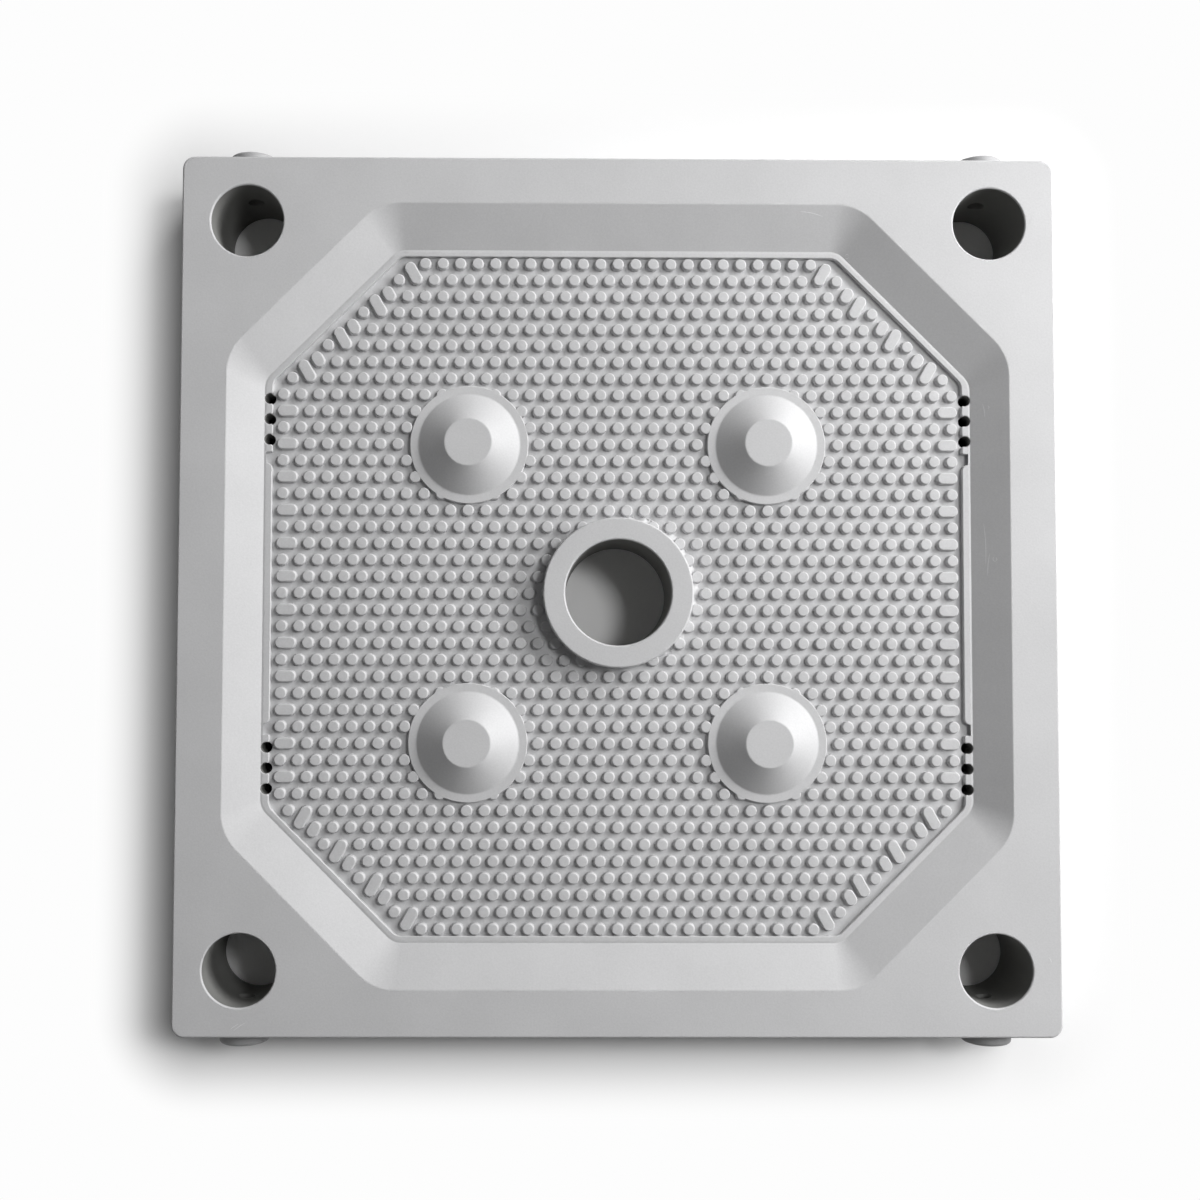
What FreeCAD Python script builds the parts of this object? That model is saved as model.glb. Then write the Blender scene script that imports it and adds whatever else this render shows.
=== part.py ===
import FreeCAD, Part
import math
import os

# Recessed filter press plate, moulded and machined from one block of polypropylene.
# Both faces are alike. Each has a sunk octagonal chamber with a field of pips, a raised
# ring round the feed eye and four stay bosses. Four filtrate eyes pass through the corners.
# Drain holes run from face to face beside the chamber's floor. A duct drilled from each end
# of a side passes through an eye to three of them, and a plug closes its outer end.
# The plate lies on its back face, centred on the origin: X is its width, Y its height and
# Z its thickness. All sizes are in millimetres.

# Plate blank
plate_width = 630.0
plate_height = 630.0
plate_thickness = 70.0
plate_corner_radius = 9.0

# Feed eye in the middle, with its raised sealing ring
feed_eye_diameter = 76.0
feed_ring_width = 16.0

# Filtrate eyes in the four corners
eye_diameter = 52.0
eye_edge_distance = 47.0

# Sunk chamber: flat sealing land, sloping wall, narrow ledge, and the floor below the ledge.
# The runs are measured across the slope at the sides, the ends and the cut corners.
land_width = 33.5
corner_bridge = 32.0
recess_depth = 12.0
slope_run_side = 24.5
slope_run_end = 30.1
slope_run_corner = 29.6
slope_corner_round = 50.0
land_line_round = 9.0
ledge_width_side = 6.3
ledge_width_end = 5.3
ledge_width_corner = 5.2
floor_corner_radius = 10.0

# Pips: short studs that hold the cloth off the floor so that the filtrate can run under it.
# The moulded field has a round pip on every site of a staggered grid. Here every third site
# of every third row is built, and the pips are square with the same area, because the whole
# field on both faces would take ten times as many faces as the rest of the plate.
pip_height = 4.0
pip_diameter = 8.2
pip_pitch = 12.8
pip_row_pitch = 12.06
pip_step_count = 3
pip_edge_gap = 4.8

# Stay bosses: truncated cones that stop the chamber's floor from bending
boss_spacing_x = 216.0
boss_spacing_y = 216.0
boss_top_diameter = 34.0
boss_foot_diameter = 86.0

# Drain holes through the ledge at both sides. Next to each row the ledge ends in a short tab
# and a gap, so that a long rib is left between the two rows of a side.
drain_hole_diameter = 7.8
drain_hole_inset = 4.1
drain_hole_count = 3
drain_hole_pitch = 14.9
drain_row_start = 111.5
tab_length = 9.2
gap_length = 7.8
rib_end_radius = 4.5

# Ducts. Each leans a little in plan, because it starts on the eye's line and has to break
# into the drain holes, which stand closer to the middle.
duct_diameter = 12.0
duct_drain_offset = 6.0
duct_overrun = 8.0

# Plugs that close the ducts' outer ends: a thick head on the plate's edge, and a spigot that
# is thin enough to stand straight in the leaning duct
plug_head_diameter = 36.0
plug_head_height = 11.0
plug_spigot_diameter = 10.0
plug_spigot_length = 12.0

# Narrow flats stand in for the round sides of what is small or often repeated
bore_flat_count = 12
plug_flat_count = 24
boss_flat_count = 34

half_width = plate_width / 2
half_height = plate_height / 2
mid_plane = plate_thickness / 2
ledge_level = plate_thickness - recess_depth
floor_level = ledge_level - pip_height
root_two = math.sqrt(2)
eye_x = half_width - eye_edge_distance
eye_y = half_height - eye_edge_distance
land_x = half_width - land_width
land_y = half_height - land_width
land_reach = (eye_x + eye_y) / root_two - eye_diameter / 2 - corner_bridge
foot_x = land_x - slope_run_side
foot_y = land_y - slope_run_end
foot_reach = land_reach - slope_run_corner
floor_x = foot_x - ledge_width_side
floor_y = foot_y - ledge_width_end
floor_reach = foot_reach - ledge_width_corner
ring_radius = feed_eye_diameter / 2 + feed_ring_width
drain_x = foot_x - drain_hole_inset
drain_rows = [drain_row_start + index * drain_hole_pitch for index in range(drain_hole_count)]
gap_end = drain_row_start - tab_length
gap_start = gap_end - gap_length
duct_shift = eye_x - drain_x - duct_drain_offset
duct_slope = duct_shift / (eye_y - sum(drain_rows) / drain_hole_count)
origin = FreeCAD.Vector()
along_x = FreeCAD.Vector(1, 0, 0)
along_y = FreeCAD.Vector(0, 1, 0)
up = FreeCAD.Vector(0, 0, 1)
duct_inward = FreeCAD.Vector(-duct_slope, -1, 0).normalize()
duct_mouth = FreeCAD.Vector(eye_x + duct_slope * eye_edge_distance, half_height, mid_plane)
fine = 1e-6


def prism(points, height):
    """Upright prism on a polygon."""
    return Part.Face(Part.makePolygon(points + points[:1])).extrude(up * height)


def box_between(low, high):
    """Upright block between two opposite corners."""
    size = [b - a for a, b in zip(low, high)]
    return Part.makeBox(size[0], size[1], size[2], FreeCAD.Vector(*low))


def mirrored(shapes, normal, point=origin):
    """Mirror images of the shapes in the plane through the point."""
    return [shape.mirror(point, normal) for shape in shapes]


def in_four_quarters(shapes):
    """The shapes of the right-hand upper quarter, repeated in all four."""
    right = shapes + mirrored(shapes, along_y)
    return right + mirrored(right, along_x)


def on_both_faces(shapes):
    """The shapes on the front face, with their mirror images on the back face."""
    return shapes + mirrored(shapes, up, FreeCAD.Vector(0, 0, mid_plane))


def flatted_rod(diameter, flats, start, axis, length):
    """Rod with flats in place of a round side."""
    side = axis.cross(up if abs(axis.z) < fine else along_y)
    other = axis.cross(side)
    points = []
    for index in range(flats):
        angle = 2 * math.pi * (index + 0.5) / flats
        points.append(start + (side * math.cos(angle) + other * math.sin(angle)) * (diameter / 2))
    return Part.Face(Part.makePolygon(points + points[:1])).extrude(axis * length)


def flatted_cone(foot_diameter, top_diameter, flats, place, height):
    """Upright truncated cone with flats in place of a round side."""
    foot, top = [], []
    for index in range(flats):
        angle = 2 * math.pi * index / flats
        outward = FreeCAD.Vector(math.cos(angle), math.sin(angle), 0)
        foot.append(place + outward * (foot_diameter / 2))
        top.append(place + outward * (top_diameter / 2) + up * height)
    outlines = [foot, top]
    outlines += [[foot[index - 1], foot[index], top[index], top[index - 1]] for index in range(flats)]
    return Part.Solid(Part.Shell([Part.Face(Part.makePolygon(line + line[:1])) for line in outlines]))


def round_upright(solid, radius, places):
    """Round the upright edges that stand at these distances from the middle, in X and Y."""
    found = []
    for edge in solid.Edges:
        box = edge.BoundBox
        if box.XLength + box.YLength > fine:
            continue
        if any(abs(abs(box.XMin) - x) + abs(abs(box.YMin) - y) < fine for x, y in places):
            found.append(edge)
    return solid.makeFillet(radius, found)


def octagon_corners(half_x, half_y, reach):
    """Corners in one quarter of a rectangle that is cut off at 45 degrees, at this reach."""
    return [(half_x, reach * root_two - half_x), (reach * root_two - half_y, half_y)]


def blank():
    """The squared block, with rounded upright corners."""
    block = box_between((-half_width, -half_height, 0), (half_width, half_height, plate_thickness))
    return round_upright(block, plate_corner_radius, [(half_width, half_height)])


def sloping_bar(foot, land, turn):
    """Long bar with sloping sides, as wide as the recess at the foot and at the land."""
    length = plate_width + plate_height
    corners = [(-foot, ledge_level), (foot, ledge_level), (land, plate_thickness), (-land, plate_thickness)]
    points = [FreeCAD.Vector(x, -length / 2, z) for x, z in corners]
    bar = Part.Face(Part.makePolygon(points + points[:1])).extrude(along_y * length)
    bar.rotate(origin, up, turn)
    return bar


def recess_void():
    """Space between the land and the ledge: what four crossing bars share, corners rounded."""
    void = sloping_bar(foot_x, land_x, 0).common(sloping_bar(foot_y, land_y, 90))
    for turn in (45, -45):
        void = void.common(sloping_bar(foot_reach, land_reach, turn))
    corners = [edge for edge in void.Edges if edge.BoundBox.ZLength > fine]
    return void.makeFillet(slope_corner_round, corners)


def sink_recesses(block):
    """Cut the sloping recess into both faces, and round the line where each meets the land."""
    sunk = block.cut(on_both_faces([recess_void()]))
    lines = []
    for edge in sunk.Edges:
        box = edge.BoundBox
        at_face = min(abs(box.ZMin), abs(box.ZMax - plate_thickness)) < fine
        if box.ZLength < fine and at_face and max(-box.XMin, box.XMax) < land_x + fine:
            lines.append(edge)
    return sunk.makeFillet(land_line_round, lines)


def floor_void():
    """Space between the ledge and the floor, with the four gaps that run out to the slope."""
    quarter = octagon_corners(floor_x, floor_y, floor_reach)
    outline = quarter + [(-x, y) for x, y in reversed(quarter)]
    outline += [(-x, -y) for x, y in outline]
    void = prism([FreeCAD.Vector(x, y, floor_level) for x, y in outline], pip_height)
    gap = box_between((0, gap_start, floor_level), (foot_x, gap_end, ledge_level))
    void = void.fuse(in_four_quarters([gap])).removeSplitter()
    void = round_upright(void, floor_corner_radius, quarter)
    return round_upright(void, rib_end_radius, [(floor_x, gap_start)])


def stay_bosses():
    """Four cones that rise from the floor and end flush with the land."""
    place = FreeCAD.Vector(boss_spacing_x / 2, boss_spacing_y / 2, floor_level)
    height = plate_thickness - floor_level
    boss = flatted_cone(boss_foot_diameter, boss_top_diameter, boss_flat_count, place, height)
    return in_four_quarters([boss])


def feed_ring():
    """Raised ring round the feed eye, flush with the land of both faces."""
    return Part.makeCylinder(ring_radius, plate_thickness)


def pip_places():
    """Centres of the pips that are built, clear of the edge, the feed ring and the bosses."""
    across = pip_pitch * pip_step_count
    between_rows = pip_row_pitch * pip_step_count
    corner_limit = (floor_reach - pip_edge_gap) * root_two
    columns = int(floor_x / across) + 1
    rows = int((floor_y - pip_edge_gap) / between_rows)
    places = []
    for row in range(-rows, rows + 1):
        for column in range(-columns, columns + 1):
            x = (column + 0.5 * (row % 2)) * across
            y = row * between_rows
            to_boss = math.hypot(abs(x) - boss_spacing_x / 2, abs(y) - boss_spacing_y / 2)
            inside = abs(x) < floor_x - pip_edge_gap and abs(x) + abs(y) < corner_limit
            clear = math.hypot(x, y) > ring_radius + pip_diameter
            if inside and clear and to_boss > boss_foot_diameter / 2 + pip_diameter / 2:
                places.append((x, y))
    return places


def pips():
    """Square pips on the floor, each with the area of the round pip that it stands for."""
    half = pip_diameter * math.sqrt(math.pi) / 4
    return [box_between((x - half, y - half, floor_level), (x + half, y + half, ledge_level))
            for x, y in pip_places()]


def eye_bores():
    """The feed eye and the four filtrate eyes, bored right through."""
    eye = Part.makeCylinder(eye_diameter / 2, plate_thickness, FreeCAD.Vector(eye_x, eye_y, 0))
    return [Part.makeCylinder(feed_eye_diameter / 2, plate_thickness)] + in_four_quarters([eye])


def drain_holes():
    """Three holes right through the plate in each quarter."""
    places = [FreeCAD.Vector(drain_x, row, 0) for row in drain_rows]
    return in_four_quarters([
        flatted_rod(drain_hole_diameter, bore_flat_count, place, up, plate_thickness) for place in places])


def ducts():
    """Leaning ducts from the ends of both sides, through the eyes and the drain holes."""
    start = duct_mouth - duct_inward * duct_diameter
    length = (half_height - drain_rows[0] + duct_overrun) / -duct_inward.y + duct_diameter
    return in_four_quarters([flatted_rod(duct_diameter, bore_flat_count, start, duct_inward, length)])


def plate():
    """The whole plate: one solid."""
    body = sink_recesses(blank())
    body = body.cut(on_both_faces([floor_void()]))
    body = body.fuse(on_both_faces(stay_bosses() + pips()) + [feed_ring()])
    return body.cut(eye_bores() + drain_holes() + ducts())


def plug(sign_x, sign_y):
    """Plug of one quarter: its spigot in the duct's mouth, its head on the plate's edge."""
    head = flatted_rod(plug_head_diameter, plug_flat_count, duct_mouth, along_y, plug_head_height)
    spigot = flatted_rod(plug_spigot_diameter, bore_flat_count, duct_mouth, -along_y, plug_spigot_length)
    shape = head.fuse(spigot)
    if sign_x < 0:
        shape = shape.mirror(origin, along_x)
    if sign_y < 0:
        shape = shape.mirror(origin, along_y)
    return shape


nodes = {
    "plate": plate(),
    "plug_top_left": plug(-1, 1),
    "plug_top_right": plug(1, 1),
    "plug_bottom_left": plug(-1, -1),
    "plug_bottom_right": plug(1, -1),
}

os.makedirs("parts", exist_ok=True)
for name, shape in nodes.items():
    solid = shape.Solids[0]
    print(name, len(shape.Solids), "solid", round(solid.Volume / 1000, 1), "cm3", "valid", solid.isValid())
    solid.exportStep("parts/" + name + ".step")
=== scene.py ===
"""Recessed filter press plate of moulded polypropylene, in a plain studio.

The plate lies on its back face: X is its width, Y its height and Z its thickness. Both faces
are alike, so what is made for the front face is mirrored in the middle plane for the back.
"""

import math
from types import SimpleNamespace

import bmesh
import bpy
import numpy as np
from bpy.props import FloatProperty, FloatVectorProperty, IntProperty, PointerProperty
from bpy.types import Operator, Panel, PropertyGroup
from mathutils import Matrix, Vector
from mathutils.geometry import delaunay_2d_cdt


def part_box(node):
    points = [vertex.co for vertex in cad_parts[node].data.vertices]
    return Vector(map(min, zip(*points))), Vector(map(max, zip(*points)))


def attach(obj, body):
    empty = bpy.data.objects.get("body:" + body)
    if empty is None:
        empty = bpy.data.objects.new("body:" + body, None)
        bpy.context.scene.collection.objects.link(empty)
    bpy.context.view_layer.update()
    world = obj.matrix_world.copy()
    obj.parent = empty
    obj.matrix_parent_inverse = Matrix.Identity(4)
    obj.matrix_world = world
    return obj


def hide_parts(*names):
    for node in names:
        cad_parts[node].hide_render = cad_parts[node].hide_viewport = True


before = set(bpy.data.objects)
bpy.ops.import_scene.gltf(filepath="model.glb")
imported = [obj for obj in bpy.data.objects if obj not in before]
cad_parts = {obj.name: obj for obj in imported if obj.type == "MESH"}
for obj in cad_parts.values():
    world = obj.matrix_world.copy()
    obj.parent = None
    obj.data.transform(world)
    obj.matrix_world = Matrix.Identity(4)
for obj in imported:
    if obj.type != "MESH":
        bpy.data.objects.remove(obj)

bl_info = {
    "name": "Filter press plate",
    "version": (1, 0, 0),
    "blender": (4, 5, 0),
    "location": "3D View > Sidebar > Press plate",
    "description": "Dresses the packed filter press plate and sets a studio round it",
    "category": "Object",
}

MM = 0.001
ROOT_TWO = math.sqrt(2)
PLUG_NODES = ("plug_top_left", "plug_top_right", "plug_bottom_left", "plug_bottom_right")
QUARTERS = np.array([(1, 1), (-1, 1), (-1, -1), (1, -1)])

# Points round a full circle, and steps in an arc: of a section, the plate or its chamber
CONE_POINTS = 96
RING_POINTS = 144
HOLE_POINTS = 40
PLUG_POINTS = 72
PIP_POINTS = 18
EDGE_STEPS = 5
CORNER_STEPS = 8
PLAN_STEPS = 12

# Closer points are welded, closer levels are the same, and no divisor is less than the third
SAME_POINT = 2e-6
SAME_LEVEL = 1e-9
TINY = 1e-6
# How far small forms reach into the floor that they stand on, and thin ones lie off a surface
SUNK = 0.1 * MM
FLANGE_LIFT = 0.05 * MM
SCRATCH_LIFT = 0.02 * MM
FLOOR_GAP = 0.2 * MM
# A rim sinks by this share of its width, and edges past the angle in degrees stay sharp
RIM_SLOPE = 0.8
SHARP_ANGLE = 32
# Rounds of the foot groove's bottom and lip, and of a plug's spigot and seat
GROOVE_ROUNDS = (0.8 * MM, 2.0 * MM)
SPIGOT_ROUND = 1.0 * MM
SEAT_ROUND = 0.4 * MM
# How far a face's middle may lie off a bore's wall, and has to lie inside the plate's edge
BORE_MARGIN = 0.1 * MM
SIDE_MARGIN = 1.0 * MM

# Where a long pip's inner and outer end lie at a cut corner, in pitches before its site and row
LONG_PIP_INNER = (0.5, 0.93)
LONG_PIP_OUTER = (0.14, 0.25)

# The flash: waves as size, count to the turn and start, and section as shares of width and height
FLASH_WAVES = ((0.2, 17, 0), (0.12, 41, 1), (0.05, 97, 2))
FLASH_OUT = np.array([-0.1, 0.4, 0.9, 1.3, 1.9])
FLASH_RISE = np.array([1, 0.8, 0.5, 0.25, 0])
FLASH_SECTIONS = 400
FLASH_SEED = 7

# Fine scratches as the photo shows them: start and end in plan and bend, all in millimetres
SCRATCH_POINTS = 12
SCRATCHES = (
    (264.5, 52, 265.5, 20, 0.8), (268.5, 30, 267, 12, -0.6), (271.5, 27, 271, 23, 1.4),
    (271, 27, 272, 23, -1.2), (264.5, 139, 266, 128, 0.5), (267.5, 137, 268, 134, 1),
    (131, 277, 149, 273.5, 0.8), (166, 247, 169, 247.5, 1.5), (166, 247, 169, 247.5, -1.5),
    (-273, -309, -267, -305, 0.3), (-271, -310, -262, -304, 0.3), (305, -258, 307, -262, 0.4))

CLOUD_WIDTH = 60 * MM
GRAIN_WIDTH = 1.3 * MM
GRAIN_DEPTH = 0.3 * MM

# Where a lamp is from the plate's middle: elevation, azimuth from X, and metres
HIGH_LAMP = (60, 22, 2.5)
LOW_LAMP = (27, 28, 2.3)
# The floor turns to plain white from the first distance beyond the plate's sides to the second
FLOOR_REACH = 6.0
WHITE_START = 8 * MM
WHITE_FULL = 80 * MM
FLOOR_BOUNCE = (0.3, 0.3, 0.3, 1.0)
BACKDROP = "#fdfdfd"
BACKDROP_STRENGTH = 0.98

plate_low, plate_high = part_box("plate")
plug_low, plug_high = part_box("plug_top_right")


def length(label, description, millimetres):
    """A length, held in metres as Blender holds its own."""
    return FloatProperty(
        name=label, description=description, default=millimetres * MM, min=0.0, precision=4,
        unit="LENGTH")


def amount(label, description, number):
    """A number of things that are alike."""
    return IntProperty(name=label, description=description, default=number, min=1)


def linear(code):
    """Linear red, green and blue of an sRGB hex code, by the sRGB curve."""
    parts = np.array([int(code[i:i + 2], 16) for i in (1, 3, 5)]) / 255
    return tuple(np.where(parts <= 0.04045, parts / 12.92, ((parts + 0.055) / 1.055) ** 2.4))


def colour(label, description, code):
    """A colour property, from an sRGB hex code."""
    return FloatVectorProperty(
        name=label, description=description, default=linear(code), min=0.0, max=1.0, size=3,
        subtype="COLOR")


class BodySizes(PropertyGroup):
    """Sizes of the plate's body."""

    width: length("Width", "Size of the plate along X", (plate_high.x - plate_low.x) / MM)
    height: length("Height", "Size of the plate along Y", (plate_high.y - plate_low.y) / MM)
    thickness: length("Thickness", "Size of the plate along Z", plate_high.z / MM)
    corner_radius: length("Corner radius", "Round of the plate's upright corners", 9)
    edge_round: length("Edge round", "Round of the plate's outer edges", 1.6)
    eye_diameter: length("Eye diameter", "Bore of the filtrate eyes", 52)
    eye_edge_distance: length("Eye distance", "From the plate's edge to an eye's centre", 47)
    eye_edge_round: length("Eye edge round", "Round of the eyes' edges", 1.3)
    feed_eye_diameter: length("Feed eye diameter", "Bore of the feed eye", 76)
    feed_edge_round: length("Feed edge round", "Round of the feed ring's edges", 1.4)
    feed_ring_width: length("Feed ring width", "Width of the ring round the feed eye", 16)
    land_width: length("Land width", "Width of the sealing land", 33.5)
    corner_bridge: length("Corner bridge", "Land between an eye and the chamber", 32)
    recess_depth: length("Recess depth", "From the land down to the ledge", 12)
    run_side: length("Side run", "Width of the slope at the sides", 24.5)
    run_end: length("End run", "Width of the slope at the top and bottom", 30.1)
    run_corner: length("Corner run", "Width of the slope at the cut corners", 29.6)
    land_corner: length("Land corner", "Radius in plan of the land line's corners", 38)
    foot_corner: length("Foot corner", "Radius in plan of the slope's foot corners", 15)
    land_line_round: length("Land line round", "Round between the land and the slope", 3)
    foot_groove_depth: length("Foot groove depth", "Shallow groove along the slope's foot", 0.22)
    foot_groove_width: length("Foot groove width", "From the groove's bottom to the ledge", 1.5)
    ledge_side: length("Side ledge", "Width of the ledge at the sides", 6.3)
    ledge_end: length("End ledge", "Width of the ledge at the top and bottom", 5.3)
    ledge_corner: length("Corner ledge", "Width of the ledge at the cut corners", 5.2)
    floor_corner: length("Floor corner", "Radius in plan of the floor's corners", 10)
    rim: length("Rim", "Small chamfer on the edges of the steps", 0.45)


class DrainSizes(PropertyGroup):
    """Sizes of the drain holes, the gaps beside them and the ducts."""

    diameter: length("Hole diameter", "Bore of a drain hole", 7.8)
    inset: length("Hole inset", "From the slope's foot to a hole's centre", 4.1)
    count: amount("Holes in a row", "Drain holes in each quarter", 3)
    pitch: length("Hole pitch", "Between the centres of two holes", 14.9)
    row_start: length("Row start", "From the plate's middle to the first hole", 111.5)
    tab_length: length("Tab", "Ledge between the first hole and the gap", 9.2)
    gap_length: length("Gap", "Gap in the ledge beside the holes", 7.8)
    rib_end: length("Rib end", "Radius at the ends of the rib between two rows", 4.5)
    notch_depth: length("Notch depth", "Floor that reaches into the ledge at a hole", 1.7)
    notch_width: length("Notch width", "Width of that notch at its bottom", 6.4)
    notch_mouth: length("Notch mouth", "Width of that notch at the ledge's edge", 8.6)
    notch_round: length("Notch round", "Round of the tabs between the notches", 1.8)
    duct_diameter: length("Duct diameter", "Bore of the ducts from the plate's edges", 12)
    duct_offset: length("Duct offset", "Between a duct and the middle drain hole", 6)
    duct_overrun: length("Duct overrun", "How far a duct runs past its last hole", 8)


class BossSizes(PropertyGroup):
    """Sizes of the stay bosses."""

    spacing: length("Spacing", "Between two bosses, both ways", 216)
    top: length("Top diameter", "Flat top of a boss", 34)
    foot: length("Foot diameter", "Foot of the cone, level with the pips", 73.6)
    flange: length("Flange diameter", "Level flange round the cone", 86)
    top_round: length("Top round", "Round of the top's edge", 2.5)
    foot_round: length("Foot round", "Round at the cone's foot", 3)


class FlashSizes(PropertyGroup):
    """Sizes of the flash that the mould left round the feed ring."""

    width: length("Width", "Usual width of the flash", 2.6)
    height: length("Height", "From the floor to the flash's top", 2.4)
    middle: FloatProperty(
        name="Middle", description="Where it is, from X", default=math.radians(25), subtype="ANGLE")
    reach: FloatProperty(
        name="Reach", description="To each side", default=math.radians(85), subtype="ANGLE")
    crumbs: amount("Crumbs", "Small lumps beside the flash", 26)
    crumb_size: length("Crumb size", "Usual width of a lump", 1.2)


class PipSizes(PropertyGroup):
    """Sizes of the pips and of the grid that they stand on."""

    height: length("Height", "From the floor to a pip's top", 4)
    top: length("Top diameter", "Flat top of a pip", 6.6)
    shoulder: length("Shoulder diameter", "Below the rounded edge of the top", 8.6)
    shoulder_round: length("Shoulder round", "Height of the rounded edge of the top", 1.1)
    foot: length("Foot diameter", "Pip where it meets the floor", 9.2)
    pitch: length("Pitch", "Between two pips of a row", 12.8)
    row_pitch: length("Row pitch", "Between two rows", 12.06)
    rows: amount("Rows", "Rows above and below the middle one", 20)
    straight_rows: amount("Straight rows", "Rows below the cut corners", 12)
    sites: amount("Sites", "Pips on each side of the middle one", 19)
    border_gap: length("Border gap", "At least, between pips and ledge at the cut corners", 2.4)
    border_reach: length("Border reach", "How far the oval pips are drawn out there", 3.4)


class PlugSizes(PropertyGroup):
    """Sizes of the four duct plugs."""

    head_diameter: length("Head diameter", "Round head", (plug_high.x - plug_low.x) / MM)
    head_height: length("Head height", "From the plate's edge", (plug_high.y - plate_high.y) / MM)
    head_round: length("Head round", "Round of the head's outer edge", 2.5)
    spigot_diameter: length("Spigot diameter", "Part in the duct", 10)
    spigot_length: length("Spigot length", "Part in the duct", (plate_high.y - plug_low.y) / MM)


class Finishes(PropertyGroup):
    """Colours of the plate and the stage."""

    plate: colour("Plate", "Natural polypropylene, greyed by use", "#c8c8c9")
    bore: colour("Bore", "Polypropylene in the bores, darker than elsewhere", "#7e7e7c")
    plug: colour("Plug", "Polypropylene of the plugs", "#a8a8a9")
    scratch: colour("Scratch", "Polypropylene that something has rubbed", "#dededf")
    scratch_width: length("Scratch width", "Widest place of a scratch", 0.5)
    floor: colour("Floor", "Studio floor", "#f9f9f9")


class Studio(PropertyGroup):
    """Lamps of the studio."""

    high_power: FloatProperty(
        name="High lamp", description="Small lamp, for short shadows", default=18.0, unit="POWER")
    high_size: length("High lamp size", "Side of the high lamp", 500)
    low_power: FloatProperty(
        name="Low lamp", description="Wide lamp, shades the slopes", default=80.0, unit="POWER")
    low_width: length("Low lamp width", "Width of the low lamp", 2600)
    low_height: length("Low lamp height", "Height of the low lamp", 800)
    ambient: FloatProperty(
        name="Ambient", description="Light from all round", default=0.03, min=0.0)


def unit(vectors):
    """Vectors divided by their lengths."""
    return vectors / np.maximum(np.linalg.norm(vectors, axis=-1, keepdims=True), TINY)


def rounded_path(corners, radii, steps, closed=True):
    """Points along a path with an arc at every corner.

    An arc's centre lies on the line that halves the corner, as far from it as the radius over
    the sine of half the corner's angle. The arc swings from one point of touch to the other.
    On a closed path, points that repeat the one before are left out.
    """
    corners = np.asarray(corners, float)
    radii = np.broadcast_to(radii, len(corners))[:, None]
    back = unit(np.roll(corners, 1, 0) - corners)
    ahead = unit(np.roll(corners, -1, 0) - corners)
    half = np.arccos(np.clip((back * ahead).sum(1, keepdims=True), -1, 1)) / 2
    half = np.maximum(half, TINY)
    centre = corners + unit(back + ahead) * radii / np.sin(half)
    start = corners + back * radii / np.tan(half) - centre
    end = corners + ahead * radii / np.tan(half) - centre
    share = np.linspace(0, 1, steps + 1)
    turn = np.maximum(np.pi - 2 * half, TINY)
    from_start = np.sin((1 - share) * turn) / np.sin(turn)
    from_end = np.sin(share * turn) / np.sin(turn)
    arcs = from_start[..., None] * start[:, None] + from_end[..., None] * end[:, None]
    arcs += centre[:, None]
    if closed:
        path = arcs.reshape(-1, 2)
        return path[np.linalg.norm(path - np.roll(path, 1, 0), axis=1) > TINY]
    return np.concatenate([corners[:1], arcs[1:-1].reshape(-1, 2), corners[-1:]])


def offset_corners(corners, radii, distance):
    """Corners and radii of a path that runs outside a closed path that turns to the left.

    A corner moves by the sum of its two outward normals over one plus their product. An
    outward corner's radius grows by the distance, and an inward corner's shrinks.
    """
    way = unit(np.roll(corners, -1, 0) - corners)
    normal = way[:, ::-1] * (1, -1)
    normal_back = np.roll(normal, 1, 0)
    product = (normal * normal_back).sum(1, keepdims=True)
    moved = corners + distance * (normal + normal_back) / np.maximum(1 + product, TINY)
    left = (np.roll(way, 1, 0) * normal).sum(1)
    return moved, np.maximum(radii + np.sign(left) * distance, 0) * (radii > 0)


def four_quarters(points, radii):
    """A quarter's corners, from the X axis round to the Y axis, and their mirror images."""
    points, radii = np.asarray(points, float), np.asarray(radii, float)
    half = np.concatenate([points, points[::-1] * (-1, 1)])
    return np.concatenate([half, -half]), np.concatenate([radii, radii[::-1]] * 2)


def heading(angle):
    """Unit vectors in plan: the cosine and the sine of each angle."""
    return np.stack([np.cos(angle), np.sin(angle)], -1)


def circle(centre, radius, count):
    """Points round a circle: the centre plus the radius times each heading."""
    return np.asarray(centre) + radius * heading(np.arange(count) * 2 * np.pi / count)


def circles(centres, radius):
    """A circle round each centre."""
    return [circle(centre, radius, CONE_POINTS) for centre in centres]


def at_height(outline, height):
    """An outline in plan, lifted to a height."""
    return np.column_stack([outline, np.full(len(outline), height)])


def numbered(points):
    """The numbers of points, in an array of the same form."""
    return np.arange(points[..., 0].size).reshape(points.shape[:-1])


def quads(index, closed=False):
    """Quads between rows of point numbers. A closed row's end is joined to its start."""
    if closed:
        index = np.concatenate([index, index[..., :1]], -1)
    low, high = index[..., :-1, :], index[..., 1:, :]
    return np.stack([low[..., :-1], low[..., 1:], high[..., 1:], high[..., :-1]], -1).reshape(-1, 4)


def strip(loops):
    """Quads between closed loops that have the same number of points."""
    loops = np.asarray(loops)
    return loops.reshape(-1, 3), [quads(numbered(loops), closed=True)]


def turned(profile, centre, count, capped=False):
    """Surface of revolution: radius and height pairs, turned round an upright axis."""
    loops = [at_height(circle(centre, radius, count), height) for radius, height in profile]
    points, faces = strip(loops)
    if capped:
        faces.append(np.arange(len(points) - count, len(points))[None])
    return points, faces


def mirrored(patch, thickness):
    """A patch's mirror image in the middle plane."""
    points, faces = patch
    return points * (1, 1, -1) + (0, 0, thickness), [face[:, ::-1] for face in faces]


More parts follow.
